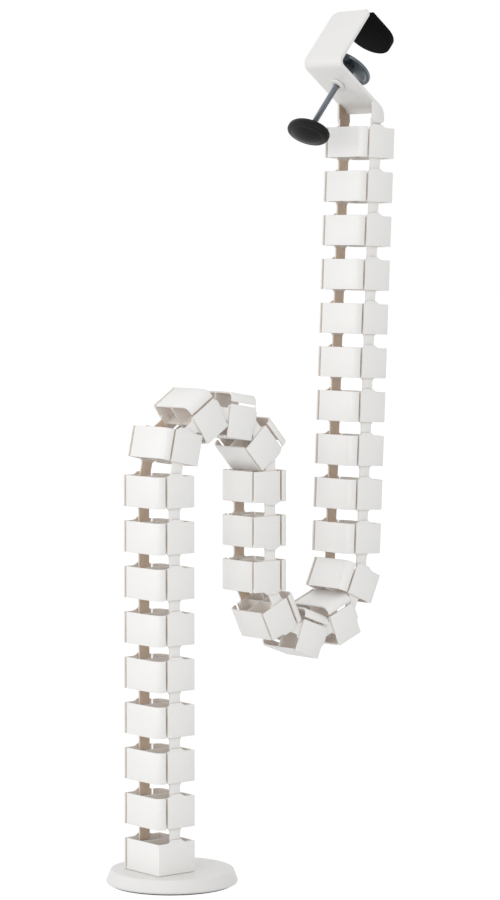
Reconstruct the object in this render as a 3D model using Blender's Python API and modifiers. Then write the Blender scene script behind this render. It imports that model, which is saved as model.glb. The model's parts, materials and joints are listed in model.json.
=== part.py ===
"""Cable spine for a height-adjustable desk.

A chain of thirty moulded links leads cables from the floor to the desk. A round weighted base
stands on the floor, and a screw clamp holds the top of the chain on the desk's edge. The chain
is modelled folded in an S: up, over an arch, down, round a turn and up to the clamp.

Metres, +Z up, the chain folds in the XZ plane, every hinge lies along Y, and the origin is the
middle of the base's underside. A heading is an angle from +Z towards +X.
"""

import math

import bmesh
import bpy
from mathutils import Matrix, Vector

# Gaps between pieces that touch, and how deep fused features reach into each other
CLEARANCE = 0.0003
FUSE = 0.0003

# Link body
LINK_DEPTH = 0.0400
LINK_WIDTH = 0.0500
LINK_HEIGHT = 0.0276
LINK_GAP = 0.0124
PLATE_WALL = 0.0018
WEB_WALL = 0.0016
CORNER_RADIUS = 0.0070
CORNER_WRAP = 0.0083
CABLE_SLOT = 0.0022
DRAFT = 0.00005

# Link hinge
PIN_DEPTH = 0.0065
PIN_RADIUS = 0.0025
PIN_END_MARGIN = 0.0004
EYE_RADIUS = 0.0029
TONGUE_HALF_WIDTH = 0.0055
TONGUE_THICKNESS = 0.0020
TONGUE_FLARE = 0.0030
TONGUE_PAD_HEIGHT = 0.0065
COLLAR_RISE = 0.0025
COLLAR_FLARE = 0.0060
SWING_MARGIN = 0.0006

# Chain: how many links stand in each straight run, and how far each joint bends in degrees
LEFT_LINKS = 9
ARCH_BENDS = (12.2, 43.5, 43.5, 38.9, 41.9)
MIDDLE_LINKS = 3
TURN_BENDS = (25.8, 43.5, 43.5, 43.5, 21.3)
RIGHT_LINKS = 10
COLUMN_OFFSET = -0.0140

# Weighted base
BASE_RADIUS = 0.0580
BASE_TOP_RADIUS = 0.0548
BASE_THICKNESS = 0.0120
BASE_EDGE = 0.0020
PAD_RADIUS = 0.0540
PAD_THICKNESS = 0.0010
FLOOR_THICKNESS = 0.0025
SCREW_SPREAD_X = 0.0095
SCREW_SPREAD_Y = 0.0120
SCREW_RADIUS = 0.0017
SCREW_LENGTH = 0.0085
SCREW_HEAD_RADIUS = 0.0034
SCREW_HEAD_TOP_RADIUS = 0.0027
SCREW_HEAD_HEIGHT = 0.0020

# Clamp bracket, bent from one strip
CLAMP_TILT = 38.2
STRIP_THICKNESS = 0.0030
BACK_LENGTH = 0.0603
JAW_LENGTH = 0.0470
JAW_HALF_WIDTH = 0.0190
JAW_BEND = 0.0050
FOLD_BEND = 0.0060
ARM_LENGTH = 0.0665
EAR_BEND = 0.0120
EAR_DROP = 0.0070
EAR_OFFSET = 0.0060
EAR_RISE = 0.0224
EAR_THICKNESS = 0.0030
EAR_FRONT = 0.0065
EAR_LIFT = 0.0105
EAR_TONGUE_TOP = 0.0150
BACK_CORNER = 0.0060

# Rubber cap on the jaw
CAP_HALF_WIDTH = 0.0230
CAP_LENGTH = 0.0460
CAP_START = 0.0045
CAP_ROOF = 0.0012
CAP_SOLE = 0.0046

# Clamp screw, nut, pressure disc and knob, along the screw's axis from the arm's middle
SCREW_AXIS = 0.0265
ROD_RADIUS = 0.00275
NUT_RADIUS = 0.0045
NUT_FLANGE_RADIUS = 0.0070
NUT_FLANGE = 0.0025
DISC_RADIUS = 0.0230
DISC_HEIGHT = 0.0152
DISC_THICKNESS = 0.0031
DISC_EDGE = 0.0007
HUB_RADIUS = 0.0070
HUB_LENGTH = 0.0060
KNOB_TOP = 0.0535
KNOB_THICKNESS = 0.0090
KNOB_HALF_LENGTH = 0.0280
KNOB_HALF_WIDTH = 0.0130
KNOB_END_TAPER = 0.12
KNOB_EDGE = 0.0022
KNOB_SOCKET = 0.0060

# How finely round features are drawn
CORNER_STEPS = 3
PIN_SIDES = 8
EYE_STEPS = 4
BASE_STEPS = 32
ROUND_STEPS = 24
SMALL_STEPS = 10
BEND_STEPS = 3

# Points closer than this are one, and faces or edges are told apart by these angles in degrees
MERGE_DISTANCE = 1e-6
FLAT_ANGLE = 0.2
SHARP_ANGLE = 30
RIM_ANGLE = 60
ROUND_PROFILE = 0.5

# Sizes that follow from the ones above
PITCH = LINK_HEIGHT + LINK_GAP
LINK_TOP = PIN_DEPTH
LINK_BOTTOM = PIN_DEPTH - LINK_HEIGHT
WEB_TOP = -TONGUE_HALF_WIDTH - SWING_MARGIN
HALF_DEPTH = LINK_DEPTH / 2
HALF_WIDTH = LINK_WIDTH / 2
PLATE_INNER = HALF_WIDTH - PLATE_WALL
TONGUE_OUTER = PLATE_INNER - CLEARANCE
TONGUE_INNER = TONGUE_OUTER - TONGUE_THICKNESS
HALF_WEB = WEB_WALL / 2
BASE_UNDERSIDE = PAD_THICKNESS + CLEARANCE
BASE_TOP = BASE_UNDERSIDE + BASE_THICKNESS
HALF_STRIP = STRIP_THICKNESS / 2
ROD_BORE = ROD_RADIUS + CLEARANCE
SCREW_HOLE_RADIUS = SCREW_RADIUS + 2 * CLEARANCE


def heading(degrees):
    """Unit vector in the XZ plane at an angle from +Z towards +X."""
    angle = math.radians(degrees)
    return Vector((math.sin(angle), 0, math.cos(angle)))


def turned_to(degrees):
    """Rotation that takes +Z to a heading."""
    return Matrix.Rotation(math.radians(degrees), 4, "Y")


def arc(centre, radius, start, end, steps):
    """Points on an arc in a flat outline, angles in degrees from the outline's first axis."""
    points = []
    for step in range(steps + 1):
        angle = math.radians(start + (end - start) * step / steps)
        points.append((centre[0] + radius * math.cos(angle), centre[1] + radius * math.sin(angle)))
    return points


def half_turn(points):
    """The outline's other half, for an outline that looks the same after half a turn."""
    return [(-x, -y) for x, y in points]


def make_material(name, color, roughness, metallic=0.0):
    """Principled material with one colour."""
    material = bpy.data.materials.new(name)
    material.use_nodes = True
    shader = material.node_tree.nodes["Principled BSDF"]
    shader.inputs["Base Color"].default_value = (*color, 1.0)
    shader.inputs["Roughness"].default_value = roughness
    shader.inputs["Metallic"].default_value = metallic
    material.diffuse_color = (*color, 1.0)
    return material


def add_object(name, data, collection):
    """New object in a collection."""
    thing = bpy.data.objects.new(name, data)
    collection.objects.link(thing)
    return thing


def evaluated_mesh(thing):
    """Mesh of an object with its modifiers, in the object's own frame."""
    bpy.context.view_layer.update()
    graph = bpy.context.evaluated_depsgraph_get()
    mesh = bpy.data.meshes.new_from_object(thing.evaluated_get(graph))
    bpy.data.objects.remove(thing)
    return mesh


def flattened(mesh, mend_normals=False):
    """Mesh with its doubles merged and its flat neighbours joined into single faces."""
    shape = bmesh.new()
    shape.from_mesh(mesh)
    bmesh.ops.remove_doubles(shape, verts=shape.verts, dist=MERGE_DISTANCE)
    bmesh.ops.dissolve_limit(shape, angle_limit=math.radians(FLAT_ANGLE), verts=shape.verts,
                             edges=shape.edges)
    if mend_normals:
        bmesh.ops.recalc_face_normals(shape, faces=shape.faces)
    shape.to_mesh(mesh)
    shape.free()
    return mesh


def slab(loops, low, high):
    """Flat outlines in XY, the first one outside and the rest holes, filled from z low to high."""
    curve = bpy.data.curves.new("outline", "CURVE")
    curve.dimensions = "2D"
    curve.fill_mode = "BOTH"
    curve.extrude = (high - low) / 2
    for loop in loops:
        spline = curve.splines.new("POLY")
        spline.points.add(len(loop) - 1)
        for point, (x, y) in zip(spline.points, loop):
            point.co = (x, y, 0, 1)
        spline.use_cyclic_u = True
    mesh = evaluated_mesh(add_object("outline", curve, bpy.context.scene.collection))
    mesh = flattened(mesh, mend_normals=True)
    mesh.transform(Matrix.Translation((0, 0, (low + high) / 2)))
    return mesh


def upright(loops, near, far):
    """Outlines in XZ, filled from y near to far."""
    mesh = slab(loops, -far, -near)
    mesh.transform(Matrix.Rotation(math.radians(90), 4, "X"))
    return mesh


def facing_x(loops, low, high):
    """Outlines in YZ, filled from x low to high."""
    mesh = slab(loops, low, high)
    mesh.transform(Matrix(((0, 0, 1, 0), (1, 0, 0, 0), (0, 1, 0, 0), (0, 0, 0, 1))))
    return mesh


def block(low, high):
    """Box between two corners."""
    shape = bmesh.new()
    bmesh.ops.create_cube(shape, size=1)
    size = Vector(high) - Vector(low)
    bmesh.ops.scale(shape, vec=size, verts=shape.verts)
    bmesh.ops.translate(shape, vec=(Vector(high) + Vector(low)) / 2, verts=shape.verts)
    mesh = bpy.data.meshes.new("block")
    shape.to_mesh(mesh)
    shape.free()
    return mesh


def rod(radius, sides, start, end):
    """Solid cylinder between two points."""
    start, end = Vector(start), Vector(end)
    shape = bmesh.new()
    bmesh.ops.create_cone(shape, cap_ends=True, segments=sides, radius1=radius, radius2=radius,
                          depth=(end - start).length)
    mesh = bpy.data.meshes.new("rod")
    shape.to_mesh(mesh)
    shape.free()
    turn = (end - start).to_track_quat("Z", "Y").to_matrix().to_4x4()
    mesh.transform(Matrix.Translation((start + end) / 2) @ turn)
    return mesh


def turned(profile, steps, closed=False):
    """Profile of (radius, height) points turned about Z with a Screw modifier."""
    mesh = bpy.data.meshes.new("profile")
    shape = bmesh.new()
    corners = [shape.verts.new((radius, 0, height)) for radius, height in profile]
    for first, second in zip(corners, corners[1:]):
        shape.edges.new((first, second))
    if closed:
        shape.edges.new((corners[-1], corners[0]))
    shape.to_mesh(mesh)
    shape.free()
    thing = add_object("profile", mesh, bpy.context.scene.collection)
    screw = thing.modifiers.new("turn", "SCREW")
    screw.steps = steps
    screw.render_steps = steps
    screw.use_merge_vertices = True
    screw.merge_threshold = MERGE_DISTANCE
    return flattened(evaluated_mesh(thing), mend_normals=True)


def carve(mesh, cutters, joins=(), cuts=()):
    """Mesh with solids joined to it and then cut from it, by Boolean modifiers."""
    thing = add_object("blank", mesh, bpy.context.scene.collection)
    tools = []
    for operation, meshes in (("UNION", joins), ("DIFFERENCE", cuts)):
        for tool_mesh in meshes:
            tool = add_object("cutter", tool_mesh, cutters)
            tool.hide_render = True
            tool.display_type = "WIRE"
            boolean = thing.modifiers.new("carve", "BOOLEAN")
            boolean.operation = operation
            boolean.object = tool
            tools.append(tool)
    result = evaluated_mesh(thing)
    for tool in tools:
        bpy.data.objects.remove(tool)
    return flattened(result)


def finished(name, mesh, material, collection, matrix, parent=None):
    """Named object for one sub-part, placed in the world and parented."""
    mesh.name = name
    if not mesh.materials:
        mesh.materials.append(material)
    mesh.shade_smooth()
    mesh.set_sharp_from_angle(angle=math.radians(SHARP_ANGLE))
    thing = add_object(name, mesh, collection)
    if parent is not None:
        thing.parent = parent
        thing.matrix_basis = parent.matrix_world.inverted() @ matrix
    else:
        thing.matrix_basis = matrix
    bpy.context.view_layer.update()
    return thing


def link_section():
    """Section of a link without its crosswise web, as three outlines.

    Each side plate ends in a bare edge beside one panel and stops short of the other panel,
    which wraps round the corner. The web along X joins the two panels.
    """
    inner_x = HALF_DEPTH - PLATE_WALL
    wrap_end = HALF_DEPTH - CORNER_WRAP
    plate_end = wrap_end - CABLE_SLOT
    panel_end = PLATE_INNER - CABLE_SLOT
    centre = (HALF_DEPTH - CORNER_RADIUS, HALF_WIDTH - CORNER_RADIUS)
    half = [(inner_x - DRAFT, -HALF_WEB), (inner_x, -panel_end), (HALF_DEPTH, -panel_end)]
    half += arc(centre, CORNER_RADIUS, 0, 90, CORNER_STEPS)
    half += [(wrap_end, HALF_WIDTH), (wrap_end, PLATE_INNER)]
    half += arc(centre, CORNER_RADIUS - PLATE_WALL, 90, 0, CORNER_STEPS - 1)
    half += [(inner_x - DRAFT, HALF_WEB)]
    plate = [(-plate_end, -HALF_WIDTH), (HALF_DEPTH, -HALF_WIDTH)]
    plate += [(HALF_DEPTH, -PLATE_INNER), (-plate_end, -PLATE_INNER)]
    return [[half + half_turn(half)], [plate], [half_turn(plate)]]


def base_link_section():
    """Section of the lowest link: its two wrapped corners are closed and square."""
    inner_x = HALF_DEPTH - PLATE_WALL
    panel_end = PLATE_INNER - CABLE_SLOT
    half = [(-HALF_DEPTH, -HALF_WIDTH), (HALF_DEPTH, -HALF_WIDTH), (HALF_DEPTH, -PLATE_INNER)]
    half += [(-inner_x, -PLATE_INNER), (DRAFT - inner_x, -HALF_WEB), (inner_x - DRAFT, -HALF_WEB)]
    half += [(inner_x, -panel_end), (HALF_DEPTH, -panel_end)]
    return [[half + half_turn(half)]]


def cross_web():
    """Low web along Y that carries both side plates, below the swing of the next link's tongues."""
    reach = PLATE_INNER + FUSE
    return block((-HALF_WEB, -reach, LINK_BOTTOM + FUSE), (HALF_WEB, reach, WEB_TOP))


def tongue_outline(eye_height, top):
    """Tongue seen along the hinge: a round eye and a strap that flares at its root."""
    flare = TONGUE_HALF_WIDTH + TONGUE_FLARE
    outline = arc((0, eye_height), TONGUE_HALF_WIDTH, 180, 360, EYE_STEPS)
    outline += [(TONGUE_HALF_WIDTH, LINK_BOTTOM - TONGUE_FLARE), (flare, LINK_BOTTOM + FUSE)]
    outline += [(flare, top), (-flare, top)]
    return outline + [(-flare, LINK_BOTTOM + FUSE), (-TONGUE_HALF_WIDTH, LINK_BOTTOM - TONGUE_FLARE)]


def eye_hole(height):
    """Round hole in a tongue, wide enough that its flats clear the pin."""
    return arc((0, height), EYE_RADIUS / math.cos(math.pi / PIN_SIDES), 0,
               360 - 360 / PIN_SIDES, PIN_SIDES - 1)


def collar_outline():
    """Low flared collar on a side plate's leading edge, round the neck of the tongue."""
    points = [(TONGUE_HALF_WIDTH + COLLAR_FLARE, LINK_TOP - FUSE)]
    points += [(TONGUE_HALF_WIDTH, LINK_TOP + COLLAR_RISE)]
    return points + [(-x, z) for x, z in reversed(points)]


def pin_stubs():
    """Two stubs on the insides of the side plates, on the link's own hinge axis."""
    start = PLATE_INNER + 3 * FUSE
    end = TONGUE_INNER - PIN_END_MARGIN
    return [rod(PIN_RADIUS, PIN_SIDES, (0, side * start, 0), (0, side * end, 0)) for side in (-1, 1)]


def collars():
    """Collars on both side plates, set in a little from the plates' faces."""
    edges = [sorted((side * (PLATE_INNER + FUSE), side * (HALF_WIDTH - FUSE))) for side in (-1, 1)]
    return [upright([collar_outline()], near, far) for near, far in edges]


def tongues():
    """Two tongues, each with a pad that fuses its root to the side plate."""
    pad_top = LINK_BOTTOM + TONGUE_PAD_HEIGHT
    pad_reach = TONGUE_HALF_WIDTH + TONGUE_FLARE - FUSE
    outline = tongue_outline(-PITCH, pad_top + FUSE)
    solids = []
    for side in (-1, 1):
        near, far = sorted((side * TONGUE_INNER, side * TONGUE_OUTER))
        solids.append(upright([outline, eye_hole(-PITCH)], near, far))
        near, far = sorted((side * (TONGUE_INNER + FUSE), side * (PLATE_INNER + FUSE)))
        solids.append(block((-pad_reach, near, LINK_BOTTOM + 2 * FUSE), (pad_reach, far, pad_top)))
    return solids


def link_mesh(cutters):
    """One moulded link. Its origin is on its own pins, and its tongues reach down one pitch."""
    panels, near_plate, far_plate = (slab(loops, LINK_BOTTOM, LINK_TOP) for loops in link_section())
    joins = [cross_web(), near_plate, far_plate] + pin_stubs() + collars() + tongues()
    return carve(panels, cutters, joins=joins)


def screw_places():
    """Where the base screws stand, one in each chamber of the lowest link."""
    return [(sx * SCREW_SPREAD_X, sy * SCREW_SPREAD_Y) for sx in (-1, 1) for sy in (-1, 1)]


def base_link_mesh(cutters):
    """Lowest link, with a floor that is screwed to the base."""
    body = slab(base_link_section()[0], LINK_BOTTOM, LINK_TOP)
    reach_x = HALF_DEPTH - PLATE_WALL / 2
    reach_y = HALF_WIDTH - PLATE_WALL / 2
    floor = block((-reach_x, -reach_y, LINK_BOTTOM), (reach_x, reach_y, LINK_BOTTOM + FLOOR_THICKNESS))
    holes = [rod(SCREW_HOLE_RADIUS, SMALL_STEPS, (x, y, LINK_BOTTOM - FLOOR_THICKNESS),
                 (x, y, LINK_BOTTOM + 2 * FLOOR_THICKNESS)) for x, y in screw_places()]
    return carve(body, cutters, joins=[floor, cross_web()] + pin_stubs() + collars(), cuts=holes)


def base_plate_mesh(cutters):
    """Round weight with a tapered rim and four blind screw holes round the chain's foot."""
    profile = [(0, BASE_TOP), (BASE_TOP_RADIUS - BASE_EDGE, BASE_TOP)]
    profile += [(BASE_TOP_RADIUS, BASE_TOP - BASE_EDGE), (BASE_RADIUS, BASE_UNDERSIDE + BASE_EDGE)]
    profile += [(BASE_RADIUS - BASE_EDGE, BASE_UNDERSIDE), (0, BASE_UNDERSIDE)]
    depth = SCREW_LENGTH - FLOOR_THICKNESS
    holes = [rod(SCREW_HOLE_RADIUS, SMALL_STEPS, (COLUMN_OFFSET + x, y, BASE_TOP - depth),
                 (COLUMN_OFFSET + x, y, BASE_TOP + depth)) for x, y in screw_places()]
    return carve(turned(profile, BASE_STEPS), cutters, cuts=holes)


def base_screw_mesh():
    """Pan-head screw about its own axis, its head just above the link's floor."""
    seat = BASE_TOP + CLEARANCE + FLOOR_THICKNESS + CLEARANCE
    tip = seat - SCREW_LENGTH + 3 * CLEARANCE
    crown = seat + SCREW_HEAD_HEIGHT
    profile = [(0, crown), (SCREW_HEAD_TOP_RADIUS, crown)]
    profile += [(SCREW_HEAD_RADIUS, seat + SCREW_HEAD_HEIGHT / 2), (SCREW_HEAD_RADIUS, seat)]
    profile += [(SCREW_RADIUS, seat), (SCREW_RADIUS, tip), (0, tip)]
    return turned(profile, SMALL_STEPS)


def bend_corner(before, corner, after, radius):
    """Centre, start angle and sweep of the arc that rounds a path's corner, in degrees."""
    before, corner, after = Vector(before), Vector(corner), Vector(after)
    arrive = (corner - before).normalized()
    leave = (after - corner).normalized()
    turn = math.atan2(arrive.x * leave.y - arrive.y * leave.x, arrive.dot(leave))
    side = 1 if turn > 0 else -1
    run = radius * math.tan(abs(turn) / 2)
    left = Vector((-arrive.y, arrive.x))
    centre = corner - arrive * run + left * side * radius
    start = math.atan2(-left.y * side, -left.x * side)
    return centre, math.degrees(start), math.degrees(turn), side


def strip_sides(path, radii, half_thickness):
    """Left and right edges of a strip bent along a path with rounded corners."""
    sides = {1: [], -1: []}
    first = (Vector(path[1]) - Vector(path[0])).normalized()
    last = (Vector(path[-1]) - Vector(path[-2])).normalized()
    for side in sides:
        across = Vector((-first.y, first.x)) * side * half_thickness
        sides[side].append(tuple(Vector(path[0]) + across))
    for index, radius in enumerate(radii, start=1):
        centre, start, sweep, turn_side = bend_corner(path[index - 1], path[index], path[index + 1],
                                                      radius)
        for side in sides:
            edge = radius - side * turn_side * half_thickness
            sides[side] += arc(centre, edge, start, start + sweep, BEND_STEPS)
    for side in sides:
        across = Vector((-last.y, last.x)) * side * half_thickness
        sides[side].append(tuple(Vector(path[-1]) + across))
    return sides[1], sides[-1]


def clamp_path():
    """Middle line of the bracket's strip in the clamp's frame: across the arm, along the back."""
    down = 180 - CLAMP_TILT
    ear_end = (ARM_LENGTH + EAR_DROP * math.sin(math.radians(down)),
               EAR_DROP * math.cos(math.radians(down)))
    return [(JAW_LENGTH, BACK_LENGTH), (0, BACK_LENGTH), (0, 0), (ARM_LENGTH, 0), ear_end]


def jaw_outline(half_width, start, end):
    """Tongue-shaped plan of the jaw, straight sides and a round end."""
    tip = arc((end - half_width, 0), half_width, -90, 90, 3 * CORNER_STEPS)
    return [(start, -half_width)] + tip + [(start, half_width)]


def jaw_trim():
    """Cutter that leaves the jaw's tongue-shaped plan."""
    over = HALF_WIDTH + STRIP_THICKNESS
    far = JAW_LENGTH + STRIP_THICKNESS
    start = HALF_STRIP + CLEARANCE
    tongue = jaw_outline(JAW_HALF_WIDTH, start, JAW_LENGTH)
    outside = [(start, over), (far, over), (far, -over), (start, -over)]
    return slab([tongue + outside], BACK_LENGTH - 3 * STRIP_THICKNESS, BACK_LENGTH + STRIP_THICKNESS)


def back_corner_trims():
    """Cutters that round the two upper corners of the back plate."""
    top = BACK_LENGTH + HALF_STRIP
    inner_y, outer_y = HALF_WIDTH - BACK_CORNER, HALF_WIDTH + BACK_CORNER
    inner_z, outer_z = top - BACK_CORNER, top + BACK_CORNER
    rounding = arc((inner_y, inner_z), BACK_CORNER, 0, 90, CORNER_STEPS)
    outside = [(inner_y, outer_z), (outer_y, outer_z), (outer_y, inner_z)]
    trims = []
    for side in (-1, 1):
        loop = [(side * y, z) for y, z in rounding + outside]
        trims.append(facing_x([loop], -STRIP_THICKNESS, HALF_STRIP + 2 * CLEARANCE))
    return trims


def ear_outline(frame):
    """Ear seen along the hinge, in the pivot's frame: it fills the corner under the bent arm."""
    path = clamp_path()
    centre, start, sweep, _ = bend_corner(path[2], path[3], path[4], EAR_BEND)
    under_arm = (ARM_LENGTH - (EAR_OFFSET + EAR_FRONT) / math.cos(math.radians(CLAMP_TILT)), 0)
    inside = [under_arm] + arc(centre, EAR_BEND, start, start + sweep, BEND_STEPS)
    points = []
    for across, along in inside:
        world = frame @ Vector((across, 0, along))
        points.append((world.x, world.z))
    right = EAR_OFFSET + HALF_STRIP - FUSE
    points += [(right, points[-1][1]), (right, EAR_LIFT + PLATE_WALL)]
    points += [(right - PLATE_WALL, EAR_LIFT), (PLATE_WALL - EAR_FRONT, EAR_LIFT)]
    points += [(-EAR_FRONT, EAR_LIFT + PLATE_WALL)]
    return points


def clamp_frame():
    """Clamp's frame seen from the top hinge: x across the arm, z along the back plate."""
    corner = Vector((EAR_OFFSET, 0, EAR_RISE))
    fold = corner - heading(CLAMP_TILT + 90) * ARM_LENGTH
    return Matrix.Translation(fold) @ turned_to(CLAMP_TILT)


def bracket_mesh(cutters):
    """Bent bracket with its ears and the tongues that clip on the top link, in the pivot's frame."""
    frame = clamp_frame()
    left, right = strip_sides(clamp_path(), (JAW_BEND, FOLD_BEND, EAR_BEND), HALF_STRIP)
    strip = upright([left + right[::-1]], -HALF_WIDTH, HALF_WIDTH)
    bore = rod(NUT_RADIUS + CLEARANCE, ROUND_STEPS, (SCREW_AXIS, 0, -STRIP_THICKNESS),
               (SCREW_AXIS, 0, STRIP_THICKNESS))
    strip = carve(strip, cutters, cuts=[jaw_trim(), bore] + back_corner_trims())
    strip.transform(frame)
    joins = []
    for side in (-1, 1):
        edges = sorted((side * (HALF_WIDTH - EAR_THICKNESS), side * (HALF_WIDTH - FUSE)))
        joins.append(upright([ear_outline(frame)], *edges))
        edges = sorted((side * TONGUE_INNER, side * TONGUE_OUTER))
        eye = arc((0, 0), TONGUE_HALF_WIDTH, 180, 360, EYE_STEPS)
        top = [(TONGUE_HALF_WIDTH, EAR_TONGUE_TOP), (-TONGUE_HALF_WIDTH, EAR_TONGUE_TOP)]
        joins.append(upright([eye + top, eye_hole(0)], *edges))
    return carve(strip, cutters, joins=joins)


def jaw_cap_mesh(cutters):
    """Rubber cap that slips on the jaw, in the clamp's frame."""
    low = BACK_LENGTH - HALF_STRIP - CLEARANCE - CAP_SOLE
    high = BACK_LENGTH + HALF_STRIP + CLEARANCE + CAP_ROOF
    cap = slab([jaw_outline(CAP_HALF_WIDTH, CAP_START, CAP_START + CAP_LENGTH)], low, high)
    pocket = slab([jaw_outline(JAW_HALF_WIDTH + CLEARANCE, -CAP_START, JAW_LENGTH + CLEARANCE)],
                  low + CAP_SOLE, high - CAP_ROOF)
    return carve(cap, cutters, cuts=[pocket])


def nut_mesh():
    """Flanged threaded insert pressed in the arm, about the screw's axis."""
    flange_top = -HALF_STRIP - CLEARANCE
    profile = [(ROD_BORE, HALF_STRIP), (NUT_RADIUS, HALF_STRIP), (NUT_RADIUS, flange_top)]
    profile += [(NUT_FLANGE_RADIUS, flange_top), (NUT_FLANGE_RADIUS, flange_top - NUT_FLANGE)]
    profile += [(ROD_BORE, flange_top - NUT_FLANGE)]
    return turned(profile, ROUND_STEPS, closed=True)


def disc_mesh():
    """Pressure disc with a hub that takes the screw's tip, about the screw's axis."""
    top = DISC_HEIGHT + DISC_THICKNESS
    profile = [(0, top), (DISC_RADIUS - DISC_EDGE, top), (DISC_RADIUS, top - DISC_EDGE)]
    profile += [(DISC_RADIUS, DISC_HEIGHT + DISC_EDGE), (DISC_RADIUS - DISC_EDGE, DISC_HEIGHT)]
    profile += [(HUB_RADIUS, DISC_HEIGHT), (HUB_RADIUS, DISC_HEIGHT - HUB_LENGTH)]
    profile += [(ROD_BORE, DISC_HEIGHT - HUB_LENGTH), (ROD_BORE, DISC_HEIGHT), (0, DISC_HEIGHT)]
    return turned(profile, ROUND_STEPS)


def knob_outline():
    """Long oval of the knob: two arcs over its length, with round ends."""
    points = []
    for step in range(ROUND_STEPS):
        angle = 2 * math.pi * step / ROUND_STEPS
        taper = 1 - KNOB_END_TAPER * math.sin(angle) ** 2
        points.append((KNOB_HALF_WIDTH * math.cos(angle) * taper, KNOB_HALF_LENGTH * math.sin(angle)))
    return points


def knob_mesh(cutters):
    """Black wing knob, its edges rounded, with a blind socket for the screw."""
    low = -KNOB_TOP - KNOB_THICKNESS
    mesh = slab([knob_outline()], low, -KNOB_TOP)
    shape = bmesh.new()
    shape.from_mesh(mesh)
    rims = [edge for edge in shape.edges
            if abs(edge.verts[0].co.z - edge.verts[1].co.z) < CLEARANCE and edge.is_manifold
            and abs(edge.calc_face_angle(0)) > math.radians(RIM_ANGLE)]
    bmesh.ops.bevel(shape, geom=rims, offset=KNOB_EDGE, segments=2, profile=ROUND_PROFILE, affect="EDGES")
    shape.to_mesh(mesh)
    shape.free()
    bottom, mouth = -KNOB_TOP - KNOB_SOCKET, -KNOB_TOP + KNOB_SOCKET
    socket = rod(ROD_BORE, SMALL_STEPS, (0, 0, bottom), (0, 0, mouth))
    return carve(mesh, cutters, cuts=[socket])


def chain_headings():
    """Heading of every link, from the base to the clamp."""
    headings = [0.0] * LEFT_LINKS
    for bend in ARCH_BENDS:
        headings.append(headings[-1] + bend)
    headings += [headings[-1]] * (MIDDLE_LINKS - 1)
    for bend in TURN_BENDS:
        headings.append(headings[-1] - bend)
    headings += [headings[-1]] * (RIGHT_LINKS - 1)
    return headings


def pin_places(headings):
    """World place of every link's own pin axis, from the base to the clamp."""
    foot = BASE_TOP + CLEARANCE - LINK_BOTTOM
    places = [Vector((COLUMN_OFFSET, 0, foot))]
    for degrees in headings[1:]:
        places.append(places[-1] + heading(degrees) * PITCH)
    return places


def build_chain(parts, cutters, materials, clamp):
    """Place the links from the clamp down, each one parented to the link above it."""
    headings = chain_headings()
    places = pin_places(headings)
    mesh = link_mesh(cutters)
    above = clamp
    for number in range(len(headings), 1, -1):
        matrix = Matrix.Translation(places[number - 1]) @ turned_to(headings[number - 1])
        above = finished(f"link_{number:02d}", mesh, materials["plastic"], parts, matrix, above)
    matrix = Matrix.Translation(places[0]) @ turned_to(headings[0])
    return finished("base_link", base_link_mesh(cutters), materials["plastic"], parts, matrix, above)


def build_base(parts, cutters, materials, base_link):
    """Weighted plate, its rubber pad and the screws, carried by the lowest link."""
    place = Matrix.Identity(4)
    finished("base_plate", base_plate_mesh(cutters), materials["coated_steel"], parts, place, base_link)
    pad = rod(PAD_RADIUS, BASE_STEPS, (0, 0, 0), (0, 0, PAD_THICKNESS))
    finished("base_foot_pad", pad, materials["rubber"], parts, place, base_link)
    screw = base_screw_mesh()
    for number, (x, y) in enumerate(screw_places(), start=1):
        place = Matrix.Translation((COLUMN_OFFSET + x, y, 0))
        finished(f"base_screw_{number}", screw, materials["steel"], parts, place, base_link)


def build_clamp(parts, cutters, materials, pivot):
    """Bracket, jaw cap, nut, pressure disc, screw and knob."""
    base = Matrix.Translation(pivot)
    frame = base @ clamp_frame()
    axis = frame @ Matrix.Translation((SCREW_AXIS, 0, 0))
    bracket = finished("clamp_bracket", bracket_mesh(cutters), materials["white_steel"], parts, base)
    finished("clamp_jaw_cap", jaw_cap_mesh(cutters), materials["rubber"], parts, frame, bracket)
    finished("clamp_nut", nut_mesh(), materials["steel"], parts, axis, bracket)
    disc = finished("pressure_disc", disc_mesh(), materials["dark_steel"], parts, axis, bracket)
    end = -KNOB_TOP - KNOB_SOCKET + CLEARANCE
    screw = rod(ROD_RADIUS, 2 * SMALL_STEPS, (0, 0, end), (0, 0, DISC_HEIGHT - CLEARANCE))
    screw = finished("clamp_screw", screw, materials["dark_steel"], parts, axis, disc)
    finished("clamp_knob", knob_mesh(cutters), materials["black_plastic"], parts, axis, screw)
    return bracket


def main():
    """Clear the scene and build every piece."""
    for thing in list(bpy.data.objects):
        bpy.data.objects.remove(thing)
    parts = bpy.data.collections.new("cable_spine")
    cutters = bpy.data.collections.new("cutters")
    bpy.context.scene.collection.children.link(parts)
    bpy.context.scene.collection.children.link(cutters)
    materials = {
        "plastic": make_material("moulded_plastic", (0.78, 0.77, 0.75), 0.45),
        "coated_steel": make_material("coated_steel", (0.62, 0.61, 0.60), 0.55),
        "white_steel": make_material("white_coated_steel", (0.80, 0.80, 0.79), 0.40),
        "rubber": make_material("black_rubber", (0.02, 0.02, 0.02), 0.80),
        "black_plastic": make_material("black_plastic", (0.02, 0.02, 0.02), 0.45),
        "steel": make_material("zinc_steel", (0.60, 0.60, 0.60), 0.35, 1.0),
        "dark_steel": make_material("dark_steel", (0.10, 0.10, 0.11), 0.30, 1.0),
    }
    pivot = pin_places(chain_headings())[-1]
    bracket = build_clamp(parts, cutters, materials, pivot)
    base_link = build_chain(parts, cutters, materials, bracket)
    build_base(parts, cutters, materials, base_link)


main()
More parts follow.
